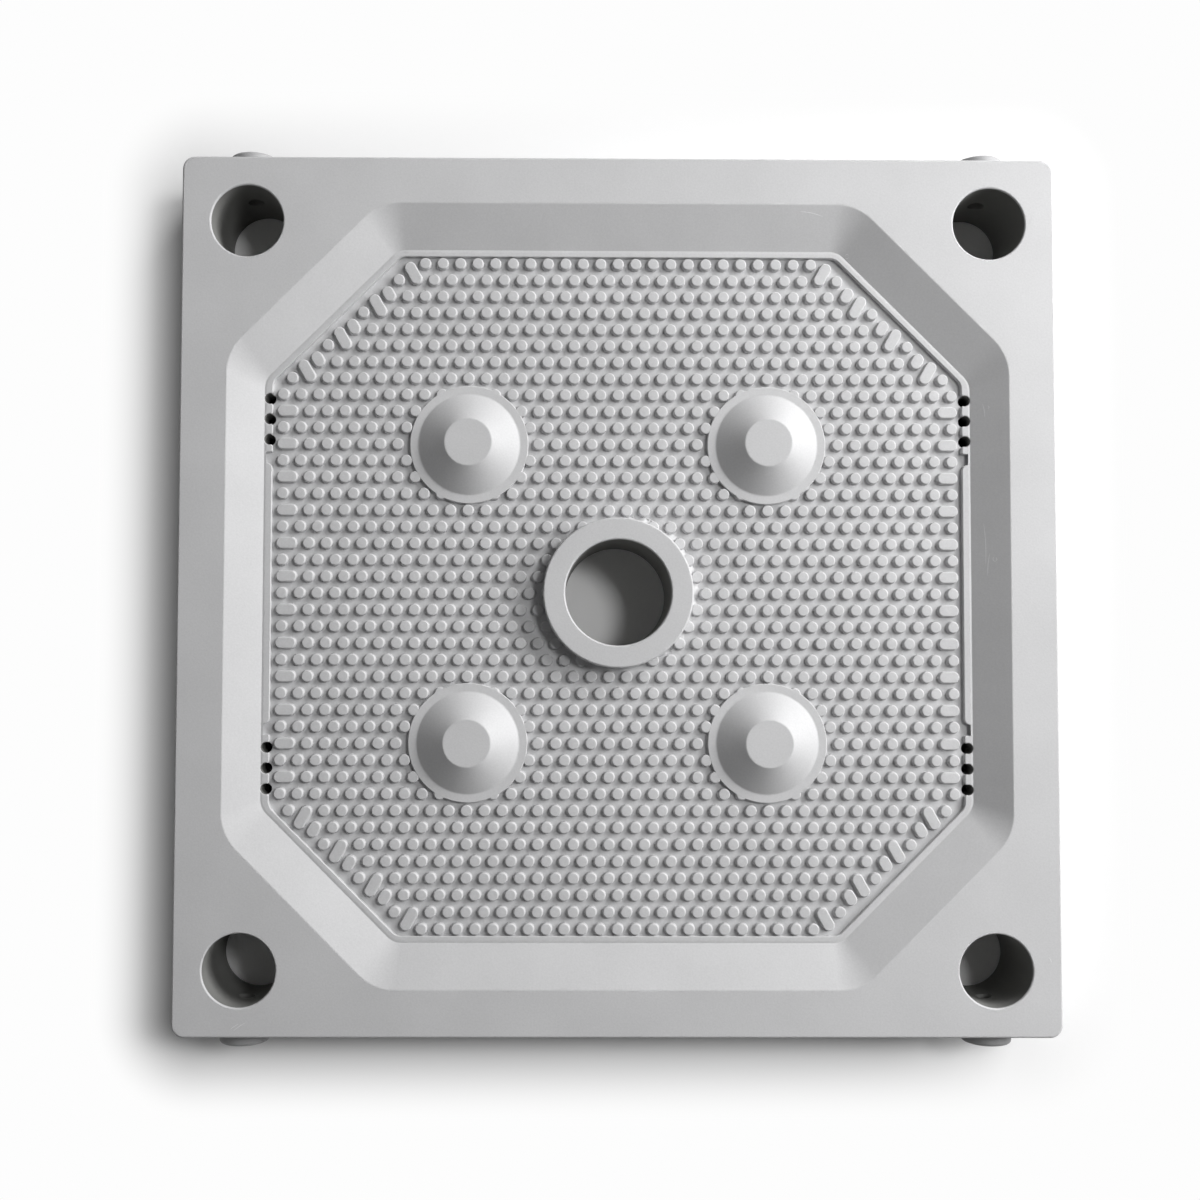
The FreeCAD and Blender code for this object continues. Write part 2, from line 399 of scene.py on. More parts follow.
def joined(patches):
    """Patches as one list of points and one list of faces."""
    points, faces, start = [], [], 0
    for patch_points, patch_faces in patches:
        points.append(patch_points)
        for group in patch_faces:
            faces += (group + start).tolist()
        start += len(patch_points)
    return np.concatenate(points), faces


def cut_plan(outlines, support=()):
    """Triangles in plan that keep to every outline. Each belongs to the last outline round it."""
    loops = [*outlines, *support]
    ends = np.cumsum([0] + [len(loop) for loop in loops])
    rings = [np.arange(start, end) for start, end in zip(ends, ends[1:])]
    edges = np.concatenate([np.stack([ring, np.roll(ring, -1)], 1) for ring in rings])
    faces = [ring.tolist() for ring in rings[:len(outlines)]]
    inside, epsilon = 1, 1e-7
    cut = delaunay_2d_cdt(np.concatenate(loops).tolist(), edges.tolist(), faces, inside, epsilon)
    owner = np.array([max(found, default=-1) for found in cut[5]])
    return np.array(cut[0], float), np.array(cut[2]), owner


def flat_fill(outlines, height):
    """Flat face inside the first outline and outside the others."""
    plan, triangles, owner = cut_plan(outlines)
    return at_height(plan, height), [triangles[owner == 0]]


def neighbours(triangles, owner, count):
    """For each side of each triangle: its tail, its head, its owner and the owner across it."""
    tail = triangles.ravel()
    head = np.roll(triangles, -1, 1).ravel()
    mine = np.repeat(owner, 3)
    key = tail * count + head
    order = np.argsort(key)
    wanted = head * count + tail
    place = np.minimum(np.searchsorted(key[order], wanted), len(key) - 1)
    met = key[order][place] == wanted
    return tail, head, mine, np.where(met, mine[order][place], -1)


def terraces(outlines, levels, support, rim, outside):
    """Flat steps that are cut by outlines in plan, with upright walls between them.

    Each region lies at its outline's level. Where it ends at a drop, its edge sinks by the
    rim, and a wall goes down from it to the lower level.
    """
    plan, triangles, owner = cut_plan(outlines, support)
    levels = np.array([*levels, outside])
    tail, head, mine, other = neighbours(triangles, owner, len(plan))
    solid = ~np.isnan(levels[mine])
    drop = solid & (levels[mine] > levels[other] + SAME_LEVEL) & (other >= 0)
    sunk = np.zeros((len(plan), len(levels)), bool)
    sunk[tail[drop], mine[drop]] = True
    sunk[head[drop], mine[drop]] = True
    border = (other < 0) & solid
    sunk[np.concatenate([tail[border], head[border]])] = False

    def placed(vertex, region):
        """Points of the plan at the level of a region."""
        return np.column_stack([plan[vertex], levels[region] - rim * sunk[vertex, region]])

    kept = ~np.isnan(levels[owner])
    top = placed(triangles[kept].ravel(), np.repeat(owner[kept], 3))
    patches = [(top, [np.arange(len(top)).reshape(-1, 3)])]
    patches.append(wall(
        placed(tail[drop], other[drop]), placed(head[drop], other[drop]),
        placed(head[drop], mine[drop]), placed(tail[drop], mine[drop])))
    foot = border & (levels[mine] < outside - SAME_LEVEL)
    patches.append(wall(
        at_height(plan[head[foot]], outside), at_height(plan[tail[foot]], outside),
        placed(tail[foot], mine[foot]), placed(head[foot], mine[foot])))
    return patches


def wall(*rows):
    """Quads through four rows of points."""
    points = np.concatenate(rows)
    return points, [np.arange(len(points)).reshape(4, -1).T]


def add_object(name, data):
    """Add an object that shows the data."""
    thing = bpy.data.objects.new(name, data)
    bpy.context.scene.collection.objects.link(thing)
    return thing


def new_mesh(name, patches, material, sharp_angle=SHARP_ANGLE, weld=True):
    """An object from patches. Where they form one skin, the points that meet are welded."""
    points, faces = joined(patches)
    mesh = bpy.data.meshes.new(name)
    mesh.from_pydata(points.tolist(), [], faces)
    if weld:
        grid = bmesh.new()
        grid.from_mesh(mesh)
        bmesh.ops.remove_doubles(grid, verts=grid.verts, dist=SAME_POINT)
        bmesh.ops.recalc_face_normals(grid, faces=grid.faces)
        grid.to_mesh(mesh)
        grid.free()
    mesh.shade_smooth()
    mesh.set_sharp_from_angle(angle=math.radians(sharp_angle))
    mesh.materials.append(material)
    return add_object(name, mesh)


def even_normals(piece):
    """Let the large flat faces set the normals, so that they shade evenly up to their rounds."""
    evened = piece.modifiers.new("even_normals", "WEIGHTED_NORMAL")
    evened.keep_sharp = True


def cut_rods(piece, rods):
    """Cut rods out of the piece."""
    cutter = new_mesh("rods", rods, piece.data.materials[0])
    cut = piece.modifiers.new("rods", "BOOLEAN")
    cut.object = cutter
    cut.operation = "DIFFERENCE"
    cut.solver = "EXACT"
    evaluated = piece.evaluated_get(bpy.context.evaluated_depsgraph_get())
    mesh = bpy.data.meshes.new_from_object(evaluated)
    piece.modifiers.remove(cut)
    piece.data = mesh
    bpy.data.objects.remove(cutter)
    mesh.set_sharp_from_angle(angle=math.radians(SHARP_ANGLE))


def add_node(tree, kind, inputs=None, **settings):
    """Add a node, with its settings, and its inputs set, or linked to a socket or a node."""
    node = tree.nodes.new("ShaderNode" + kind)
    for name, value in settings.items():
        setattr(node, name, value)
    for name, value in (inputs or {}).items():
        value = value.outputs[0] if isinstance(value, bpy.types.Node) else value
        if isinstance(value, bpy.types.NodeSocket):
            tree.links.new(value, node.inputs[name])
        else:
            node.inputs[name].default_value = value
    return node


def maths(tree, operation, *values, kind="Math"):
    """Add a math node, with its inputs in order."""
    return add_node(tree, kind, dict(enumerate(values)), operation=operation)


def empty_material(name):
    """A new material, and its node tree without nodes."""
    material = bpy.data.materials.new(name)
    material.use_nodes = True
    material.node_tree.nodes.clear()
    return material, material.node_tree


def polypropylene(name, base):
    """Moulded and milled polypropylene: pale, matte and a little waxy, with a fine grain.

    Broad clouds keep the large faces from looking too even. The grain is coarser than the real
    one, so that it shows in the picture.
    """
    material, tree = empty_material(name)
    place = add_node(tree, "TexCoord").outputs["Object"]
    cloud, grain = [
        add_node(tree, "TexNoise", {"Vector": place, "Scale": 1 / width, "Detail": detail})
        for width, detail in ((CLOUD_WIDTH, 4.0), (GRAIN_WIDTH, 2.0))]
    tint = add_node(tree, "MapRange", {
        "Value": maths(tree, "ADD", cloud, grain), "From Min": 0.65, "From Max": 1.35,
        "To Min": 0.93, "To Max": 1.05})
    toned = add_node(tree, "VectorMath", {0: (*base,), "Scale": tint}, operation="SCALE")
    bump = add_node(tree, "Bump", {"Height": grain, "Strength": 0.12, "Distance": GRAIN_DEPTH})
    surface = add_node(tree, "BsdfPrincipled", {
        "Base Color": toned, "Roughness": 0.55, "IOR": 1.49, "Normal": bump})
    add_node(tree, "OutputMaterial", {"Surface": surface})
    return material


def plate_plan(scene):
    """What follows from the sizes: pairs of half sizes, reaches on the diagonals, and levels."""
    body, drains = scene.plate_body, scene.plate_drains
    half = np.array([body.width, body.height]) / 2
    eye, land = half - body.eye_edge_distance, half - body.land_width
    land_reach = eye.sum() / ROOT_TWO - body.eye_diameter / 2 - body.corner_bridge
    run = np.array([body.run_side, body.run_end])
    foot = land - run
    ledge = body.thickness - body.recess_depth
    gap_end = drains.row_start - drains.tab_length
    return SimpleNamespace(
        half=half, eye=eye, land=land, run=run, foot=foot,
        edge=foot - (body.ledge_side, body.ledge_end), land_reach=land_reach,
        edge_reach=land_reach - body.run_corner - body.ledge_corner,
        ledge=ledge, floor=ledge - scene.plate_pips.height,
        ring=body.feed_eye_diameter / 2 + body.feed_ring_width,
        drain_x=foot[0] - drains.inset,
        rows=drains.row_start + np.arange(drains.count) * drains.pitch,
        gap_start=gap_end - drains.gap_length, gap_end=gap_end)


def chamber_outline(body, plan, share):
    """The chamber's outline at a share of the way down its slope, 0 at the land and 1 at the foot.

    It is a rectangle with corners cut off at 45 degrees. Its half sizes, its reach along the
    diagonal and its corner radius change evenly from the land to the foot. The sides also
    have points where the gaps and their rims meet the slope.
    """
    half_x, half_y = plan.land - plan.run * share
    reach = (plan.land_reach - body.run_corner * share) * ROOT_TWO
    radius = body.land_corner + (body.foot_corner - body.land_corner) * share
    rows = [plan.gap_start - body.rim, plan.gap_start, plan.gap_end, plan.gap_end + body.rim]
    quarter = [(half_x, row) for row in rows] + [(half_x, reach - half_x), (reach - half_y, half_y)]
    return rounded_path(*four_quarters(quarter, [0] * len(rows) + [radius] * 2), PLAN_STEPS)


def slope_levels(body, plan):
    """Shares and heights down the slope, which ends in a shallow groove along the ledge."""
    run, deep = plan.run.mean(), body.foot_groove_depth
    bottom = run * (1 + deep / body.recess_depth)
    end = bottom + body.foot_groove_width
    # The first and last corner only give the rounds beside them a direction
    corners = [(-run, body.thickness), (0, body.thickness), (bottom, plan.ledge - deep)]
    corners += [(end, plan.ledge), (2 * run, plan.ledge)]
    radii = [0, body.land_line_round, *GROOVE_ROUNDS, 0]
    path = rounded_path(corners, radii, EDGE_STEPS, closed=False)[1:-1]
    return path[:, 0] / run, path[:, 1]


def floor_corners(body, drains, plan):
    """The floor's outline: the cut-off rectangle, the gaps, and the notches at the drain holes."""
    (side, end), reach = plan.edge, plan.edge_reach * ROOT_TWO
    deep, half, mouth = side + drains.notch_depth, drains.notch_width / 2, drains.notch_mouth / 2
    quarter = [(side, plan.gap_start), (plan.foot[0], plan.gap_start)]
    quarter += [(plan.foot[0], plan.gap_end), (side, plan.gap_end)]
    radii = [drains.rib_end, 0, 0, drains.notch_round * 2 / 3]
    for row in plan.rows:
        quarter += [(side, row - mouth), (deep, row - half)]
        quarter += [(deep, row + half), (side, row + mouth)]
        radii += [drains.notch_round, 0, 0, drains.notch_round]
    quarter += [(side, reach - side), (reach - end, end)]
    return four_quarters(quarter, radii + [body.floor_corner] * 2)


def outer_wall(body, plan):
    """The plate's outer wall, rounded at both faces: a rounded square at each inset and height."""
    loops = []
    for inset, height in bore_section(0, body.edge_round, body.thickness):
        square = np.roll(QUARTERS, 1, 0) * (plan.half - inset)
        path = rounded_path(square, body.corner_radius - inset, CORNER_STEPS)
        loops.append(at_height(path, height))
    return loops


def bore_section(radius, edge, thickness):
    """Section of a bore through both faces with rounded edges, as radius and height pairs."""
    wide = radius + 2 * edge
    corners = [(wide, thickness), (radius, thickness), (radius, 0), (wide, 0)]
    return rounded_path(corners, edge, EDGE_STEPS, closed=False)[1:-1]


def ring_section(body, plan):
    """Section of the feed ring and its bore, from the front floor round to the back floor."""
    bore, edge, thick = body.feed_eye_diameter / 2, body.feed_edge_round, body.thickness
    corners = [(plan.ring, plan.floor), (plan.ring, thick), (bore, thick)]
    corners += [(bore, 0), (plan.ring, 0), (plan.ring, thick - plan.floor)]
    return rounded_path(corners, edge, EDGE_STEPS, closed=False)


def boss_section(bosses, body, plan):
    """Section of a boss from its flange to its top: a cone between two rounds."""
    level = plan.ledge + FLANGE_LIFT
    corners = [(bosses.flange / 2, level), (bosses.foot / 2, level)]
    corners += [(bosses.top / 2, body.thickness), (0, body.thickness)]
    radii = [0, bosses.foot_round, bosses.top_round, 0]
    return rounded_path(corners, radii, EDGE_STEPS + 1, closed=False)[1:-1]


def body_patches(scene):
    """Every surface of the plate's body but the pips, the drain holes and the ducts.

    Levels that aren't numbers leave room for the cones and the ring.
    """
    body, bosses, plan = scene.plate_body, scene.plate_bosses, plate_plan(scene)
    eyes, middles = QUARTERS * plan.eye, QUARTERS * bosses.spacing / 2
    shares, heights = slope_levels(body, plan)
    slope = [chamber_outline(body, plan, share) for share in shares]
    outer = outer_wall(body, plan)
    eye = bore_section(body.eye_diameter / 2, body.eye_edge_round, body.thickness)
    land = [outer[0][:, :2], *circles(eyes, eye[0, 0]), slope[0]]
    cone = boss_section(bosses, body, plan)
    corners, radii = floor_corners(body, scene.plate_drains, plan)
    outlines = [slope[-1], rounded_path(corners, radii, EDGE_STEPS)]
    outlines += circles(middles, bosses.flange / 2) + circles(middles, cone[0, 0])
    outlines.append(circle((0, 0), plan.ring, RING_POINTS))
    levels = [plan.ledge, plan.floor] + [cone[0, 1]] * len(middles)
    levels += [math.nan] * (len(middles) + 1)
    support = [rounded_path(*offset_corners(corners, radii, body.rim), EDGE_STEPS)]
    support += circles(middles, bosses.flange / 2 - body.rim)
    front = [flat_fill(land, body.thickness)]
    front.append(strip([at_height(*level) for level in zip(slope, heights)]))
    front += terraces(outlines, levels, support, body.rim * RIM_SLOPE, plan.ledge)
    front += [turned(cone, place, CONE_POINTS, capped=True) for place in middles]
    patches = front + [mirrored(patch, body.thickness) for patch in front]
    patches += [strip(outer)] + [turned(eye, place, CONE_POINTS) for place in eyes]
    return patches + [turned(ring_section(body, plan), (0, 0), RING_POINTS)]


def drain_rods(scene):
    """Rods where the drain holes run, with a chamfer of the rim's width at each ledge."""
    drains, body, plan = scene.plate_drains, scene.plate_body, plate_plan(scene)
    radius, beyond = drains.diameter / 2, body.recess_depth / 4
    section = [(0, plan.ledge + beyond), (radius + body.rim, plan.ledge + beyond)]
    section += [(radius + body.rim, plan.ledge), (radius, plan.ledge - body.rim)]
    section += [(place, body.thickness - height) for place, height in section[::-1]]
    places = [(plan.drain_x, row) * sign for row in plan.rows for sign in QUARTERS]
    return [turned(section[::-1], place, HOLE_POINTS) for place in places]


def duct_rods(scene):
    """Rods where the ducts run: from beyond the plate's edge through an eye to the drain holes.

    Each leans, so that it passes through the eye's middle and cuts into the holes' sides.
    """
    drains, body, plan = scene.plate_drains, scene.plate_body, plate_plan(scene)
    (eye_x, eye_y), end = plan.eye, plan.half[1]
    lean = (eye_x - plan.drain_x - drains.duct_offset) / (eye_y - plan.rows.mean())
    along = unit(np.array([lean, 1, 0]))
    mouth = np.array([eye_x + lean * body.eye_edge_distance, end, body.thickness / 2])
    inner = mouth - along * (end - plan.rows[0] + drains.duct_overrun) / along[1]
    ends = np.array([inner, mouth + along * drains.duct_diameter])
    ring = circle((0, 0), drains.duct_diameter / 2, HOLE_POINTS)
    across = np.cross(along, (0, 0, 1))
    loops = ends[:, None] + ring[:, :1] * across + ring[:, 1:] * np.array([0, 0, 1])
    points, faces = strip(loops)
    faces += [cap[None] for cap in np.arange(2 * HOLE_POINTS).reshape(2, -1)]
    return [(points * (*sign, 1), faces) for sign in QUARTERS]


def darken_bores(piece, scene):
    """Give the walls of the eyes, the drain holes and the ducts a darker finish.

    A face's middle tells where it belongs: within an eye's radius and below its edge round, or
    deeper than the chamber's floor and inside the plate's sides and rounded corners.
    """
    body, plan, faces = scene.plate_body, plate_plan(scene), piece.data.polygons
    finish = scene.plate_finish.bore
    piece.data.materials.append(polypropylene("polypropylene in the bores", finish))
    middles = np.empty(len(faces) * 3)
    faces.foreach_get("center", middles)
    middles = middles.reshape(-1, 3)
    away = np.abs(middles[:, :2])
    deep = body.thickness / 2 - np.abs(middles[:, 2] - body.thickness / 2)
    in_bore = np.hypot(*away.T) < body.feed_eye_diameter / 2 + BORE_MARGIN
    in_bore |= np.hypot(*(away - plan.eye).T) < body.eye_diameter / 2 + BORE_MARGIN
    in_bore &= deep > body.eye_edge_round
    within = np.all(away < plan.half - (body.corner_radius, SIDE_MARGIN), axis=1)
    in_bore |= (deep > body.thickness - plan.floor + SIDE_MARGIN) & within
    faces.foreach_set("material_index", in_bore.astype(np.int32))


class PRESSPLATE_OT_body(Operator):
    """Add the plate's body: land, slopes, ledge, floor, bosses, ring, bores and ducts"""

    bl_idname = "pressplate.body"
    bl_label = "Plate body"

    def execute(self, context):
        scene = context.scene
        material = polypropylene("moulded polypropylene", scene.plate_finish.plate)
        piece = new_mesh("plate_body", body_patches(scene), material)
        cut_rods(piece, drain_rods(scene))
        cut_rods(piece, duct_rods(scene))
        darken_bores(piece, scene)
        even_normals(piece)
        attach(piece, "root")
        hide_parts("plate")
        return {"FINISHED"}


def field_sites(pips):
    """Round pips on a staggered grid: whole sites on even rows and half sites on odd ones.

    The rows are equally long up to the cut corners. Beyond, a site's place and its row's number
    add up to the reach at most, and one more pip stands at the end of each odd row.
    """
    rows, halves = np.indices((2 * pips.rows + 1, 4 * pips.sites + 1)).reshape(2, -1)
    rows, sites = rows - pips.rows, halves / 2 - pips.sites
    deep, away = np.abs(rows), np.abs(sites)
    odd = deep % 2 == 1
    longest = np.where(odd, pips.sites - 1.5, pips.sites)
    straight = (deep <= pips.straight_rows) & (away <= longest)
    reach = pips.straight_rows + pips.sites - 1
    whole = away + deep <= reach + (deep == pips.rows)
    last = odd & (away + deep == reach + 1.5)
    chosen = straight | ((deep > pips.straight_rows) & (whole | last))
    chosen &= (halves + deep) % 2 == 0
    return np.stack([sites, rows], 1)[chosen] * (pips.pitch, pips.row_pitch)


def border_pips(pips):
    """Pips in one quarter that fill the field's edge, as pairs of end centres.

    They are the long ones at the side, then the long ones and the oval ones at the cut corner.
    """
    grid = np.array([pips.pitch, pips.row_pitch])
    odd = np.arange(1, pips.straight_rows, 2)
    side = np.stack([np.full(len(odd), pips.sites), odd], 1)
    rows = np.arange(pips.straight_rows + 2, pips.rows + 1, 2)
    sites = np.stack([pips.straight_rows + pips.sites + 1 - rows, rows], 1)
    inner, outer = (sites - LONG_PIP_INNER) * grid, (sites - LONG_PIP_OUTER) * grid
    oval = ((sites - (1, 0)) * grid)[:-1]
    stretch = unit(outer - inner)[:-1] * pips.border_reach
    first = np.concatenate([(side - (0.5, 0)) * grid, inner, oval])
    return first, np.concatenate([side * grid, outer, oval + stretch])


def pip_places(scene):
    """End centres of all pips of one face, without those inside the ring or a boss flange."""
    pips, bosses, plan = scene.plate_pips, scene.plate_bosses, plate_plan(scene)
    round_pips = field_sites(pips)
    first, second = [
        np.concatenate([round_pips, *[ends * sign for sign in QUARTERS]])
        for ends in border_pips(pips)]
    from_ring = np.hypot(*first.T) - plan.ring
    from_boss = np.hypot(*(np.abs(first) - bosses.spacing / 2).T) - bosses.flange / 2
    clear = np.minimum(from_ring, from_boss) > -pips.top / 2
    return first[clear], second[clear]


def pip_patch(first, second, pips, floor, reach, count=PIP_POINTS):
    """Pips as drafted studs with rounded shoulders.

    In plan each is two half circles round its end centres, joined by straight sides. Its rings
    grow narrower from the foot to the top. Near the cut corners a ring stops at a straight line.
    """
    swing = np.linspace(0, np.pi / 2, 3)
    shoulder = pips.top + (pips.shoulder - pips.top) * np.cos(swing)
    radii = np.array([pips.foot + SUNK, *shoulder]) / 2
    rise = np.array([-SUNK, *(pips.height + pips.shoulder_round * (np.sin(swing) - 1))])
    way = second - first
    lean = np.arctan2(way[:, 1], way[:, 0])
    turn = (np.arange(count) + 0.5) * 2 * np.pi / count - np.pi / 2
    ends = np.where((turn < np.pi / 2)[None, :, None], second[:, None], first[:, None])
    around = heading(lean[:, None] + turn)
    plan = ends[:, None] + radii[:, None, None] * around[:, None]
    limit = (reach - (radii[0] - radii))[None, :, None] * ROOT_TWO
    over = np.maximum(np.abs(plan).sum(-1) - limit, 0)[..., None] / 2
    plan = plan - np.sign(plan) * over
    heights = np.broadcast_to(floor + rise[None, :, None, None], plan.shape[:-1] + (1,))
    index = numbered(plan)
    points = np.concatenate([plan, heights], -1).reshape(-1, 3)
    return points, [quads(index, closed=True), index[:, -1]]


class PRESSPLATE_OT_pips(Operator):
    """Add the pips on the floors of both chambers"""

    bl_idname = "pressplate.pips"
    bl_label = "Pips"

    def execute(self, context):
        scene = context.scene
        plan, pips = plate_plan(scene), scene.plate_pips
        reach = plan.edge_reach - pips.border_gap
        front = pip_patch(*pip_places(scene), pips, plan.floor, reach)
        back = mirrored(front, scene.plate_body.thickness)
        material = bpy.data.materials["moulded polypropylene"]
        for name, patch in (("pips_front", front), ("pips_back", back)):
            piece = new_mesh(name, [patch], material, sharp_angle=50, weld=False)
            even_normals(piece)
            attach(piece, "root")
        return {"FINISHED"}


def plug_patch(node, plugs, body):
    """A plug in place: its section, as radius and height over the plate's edge, turned about Y."""
    low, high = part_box(node)
    centre = (low + high) / 2
    out = math.copysign(1, centre.y)
    head, spigot = plugs.head_diameter / 2, plugs.spigot_diameter / 2
    corners = [(0, -plugs.spigot_length), (spigot, -plugs.spigot_length), (spigot, 0), (head, 0)]
    corners += [(head, plugs.head_height), (0, plugs.head_height)]
    radii = [0, SPIGOT_ROUND, 0, SEAT_ROUND, plugs.head_round, 0]
    section = rounded_path(corners, radii, EDGE_STEPS + 1, closed=False)[1:-1]
    points, faces = turned(section, (0, 0), PLUG_POINTS, capped=True)
    faces.append(np.arange(PLUG_POINTS)[None])
    placed = np.stack([points[:, 0], points[:, 2], points[:, 1]], 1) * (1, out, 1)
    return placed + (centre.x, out * body.height / 2, centre.z), faces


def flash_patch(ring, floor, flash):
    """Thin flash round the feed ring, whose width and height wander, and fade out at its ends.

    The share of the full width is the root of a cosine of the place along the flash, times one
    plus three waves. The height follows it more weakly.
    """
    along = np.linspace(-1, 1, FLASH_SECTIONS)
    angle = flash.middle + flash.reach * along
    waves = sum(size * np.sin(count * angle + start) for size, count, start in FLASH_WAVES)
    share = np.cos(along * np.pi / 2) ** 0.5 * np.maximum(1 + waves, 0.15)
    high = flash.height * np.minimum(0.75 + 0.25 * share, 1) * np.minimum(share * 4, 1)
    wide = np.where(FLASH_OUT < 0, 1, share[:, None]) * FLASH_OUT * flash.width
    rise = high[:, None] * FLASH_RISE
    rise[:, -1] = -SUNK
    plan = heading(angle)[:, None] * (ring + wide)[..., None]
    points = np.concatenate([plan, (floor + rise)[..., None]], -1)
    return points.reshape(-1, 3), [quads(numbered(points))]


def crumb_patch(ring, floor, flash):
    """Small lumps of the pips' form, strewn beside the flash with a fixed seed.

    Distances from the ring are in widths of the flash, and a lump's sizes in its usual width.
    """
    chance, size = np.random.default_rng(FLASH_SEED), flash.crumb_size
    angle = flash.middle + flash.reach * chance.uniform(-0.85, 0.85, flash.crumbs)
    away = ring + flash.width * chance.uniform(0.9, 2.2, flash.crumbs)
    first = away[:, None] * heading(angle)
    second = first + size * chance.uniform(-0.8, 0.8, first.shape)
    lump = SimpleNamespace(
        top=size * 0.6, shoulder=size, foot=size * 1.4, height=size * 0.5,
        shoulder_round=size * 0.3)
    return pip_patch(first, second, lump, floor, math.inf, count=10)


class PRESSPLATE_OT_flash(Operator):
    """Add the flash round the feed ring of the front face"""

    bl_idname = "pressplate.flash"
    bl_label = "Flash"

    def execute(self, context):
        scene = context.scene
        plan, flash = plate_plan(scene), scene.plate_flash
        patches = [make(plan.ring, plan.floor, flash) for make in (flash_patch, crumb_patch)]
        material = bpy.data.materials["moulded polypropylene"]
        piece = new_mesh("feed_ring_flash", patches, material, sharp_angle=60, weld=False)
        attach(piece, "root")
        return {"FINISHED"}


def surface_level(body, plan, place):
    """Height of the land or slope over places in plan.

    A place's share of the way down is the least of the shares from the side, the end and the
    cut corner, and the slope's section gives the height at that share.
    """
    shares, heights = slope_levels(body, plan)
    away = np.abs(place)
    share = ((plan.land - away) / plan.run).min(-1)
    corner_share = (plan.land_reach - away.sum(-1) / ROOT_TWO) / body.run_corner
    return np.interp(np.minimum(share, corner_share), shares, heights)


def scratch_patch(body, plan, scratch, width):
    """A scratch as a thin ribbon on the surface: its middle line bends as a parabola does."""
    numbers = np.array(scratch) * MM
    start, end, bend = numbers[:2], numbers[2:4], numbers[4]
    share = np.linspace(0, 1, SCRATCH_POINTS)[:, None]
    way = unit(end - start)
    side = np.array([-way[1], way[0]])
    middle = start + (end - start) * share + side * bend * 4 * share * (1 - share)
    half = side * width / 2 * np.sin(np.pi * share) ** 0.5
    edges = np.stack([middle - half, middle + half], 1)
    level = surface_level(body, plan, edges)[..., None] + SCRATCH_LIFT
    points = np.concatenate([edges, level], -1)
    return points.reshape(-1, 3), [quads(numbered(points).T)]


class PRESSPLATE_OT_scratches(Operator):
    """Add the fine scratches on the land and the slopes"""

    bl_idname = "pressplate.scratches"
    bl_label = "Scratches"

    def execute(self, context):
        scene = context.scene
        body, plan, finish = scene.plate_body, plate_plan(scene), scene.plate_finish
        material = polypropylene("rubbed polypropylene", finish.scratch)
        patches = [
            scratch_patch(body, plan, scratch, finish.scratch_width) for scratch in SCRATCHES]
        piece = new_mesh("scratches", patches, material, sharp_angle=60, weld=False)
        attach(piece, "root")
        return {"FINISHED"}


class PRESSPLATE_OT_plugs(Operator):
    """Add the four plugs that close the ducts"""

    bl_idname = "pressplate.plugs"
    bl_label = "Duct plugs"

    def execute(self, context):
        scene = context.scene
        material = polypropylene("turned polypropylene", scene.plate_finish.plug)
        for node in PLUG_NODES:
            patch = plug_patch(node, scene.plate_plugs, scene.plate_body)
            piece = new_mesh("turned_" + node, [patch], material)
            even_normals(piece)
            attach(piece, "root")
            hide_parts(node)
        return {"FINISHED"}


def floor_material(base, half_side):
    """Pale matte studio floor. It shows the object's shadow, and runs out to plain white.

    Only the camera and reflections see the white, so that it puts no light on the plate.
    """
    material, tree = empty_material("studio floor")
    away = add_node(tree, "TexCoord").outputs["Object"]
    away = maths(tree, "ABSOLUTE", away, kind="VectorMath")
    away = maths(tree, "SUBTRACT", away, (half_side,) * 3, kind="VectorMath")
    away = maths(tree, "MAXIMUM", away, (0, 0, 0), kind="VectorMath")
    away = maths(tree, "LENGTH", away, kind="VectorMath").outputs["Value"]
    share = add_node(tree, "MapRange", {
        "Value": away, "From Min": WHITE_START, "From Max": WHITE_FULL},
        interpolation_type="SMOOTHSTEP")
    seen = seen_directly(tree)
    share = maths(tree, "MULTIPLY", share, seen)
    grey = add_node(tree, "Mix", {
        "Factor": seen, "A": FLOOR_BOUNCE, "B": (*base, 1.0)}, data_type="RGBA")
    matte = add_node(tree, "BsdfDiffuse", {"Color": grey.outputs["Result"]})
    white = add_node(tree, "Emission", {"Color": (*linear(BACKDROP), 1.0), "Strength": 1.0})
    surface = add_node(tree, "MixShader", {0: share, 1: matte, 2: white})
    add_node(tree, "OutputMaterial", {"Surface": surface})
    return material


def seen_directly(tree):
    """1 for what the camera sees, directly, in a reflection or through something clear."""
    rays = add_node(tree, "LightPath").outputs
    seen = maths(tree, "MAXIMUM", rays["Is Camera Ray"], rays["Is Glossy Ray"])
    return maths(tree, "MAXIMUM", seen, rays["Is Transmission Ray"])


def studio_world(ambient):
    """Even light from all round, which the camera sees as white."""
    world = bpy.data.worlds.new("studio")
    bpy.context.scene.world = world
    world.use_nodes = True
    tree = world.node_tree
    tree.nodes.clear()
    strength = add_node(tree, "MapRange", {
        "Value": seen_directly(tree), "To Min": ambient, "To Max": BACKDROP_STRENGTH})
    light = add_node(tree, "Background", {"Color": (1, 1, 1, 1), "Strength": strength})
    add_node(tree, "OutputWorld", {"Surface": light})


def area_lamp(name, place, size, watts):
    """Lamp aimed at the plate's middle."""
    rise, azimuth = np.radians(place[:2])
    data = bpy.data.lights.new(name, "AREA")
    data.shape = "RECTANGLE"
    data.size, data.size_y = size
    data.energy = watts
    lamp = add_object(name, data)
    away = Vector((*heading(azimuth) * math.cos(rise), math.sin(rise)))
    lamp.location = away * place[2]
    lamp.rotation_euler = away.to_track_quat("Z", "Y").to_euler()
    return lamp


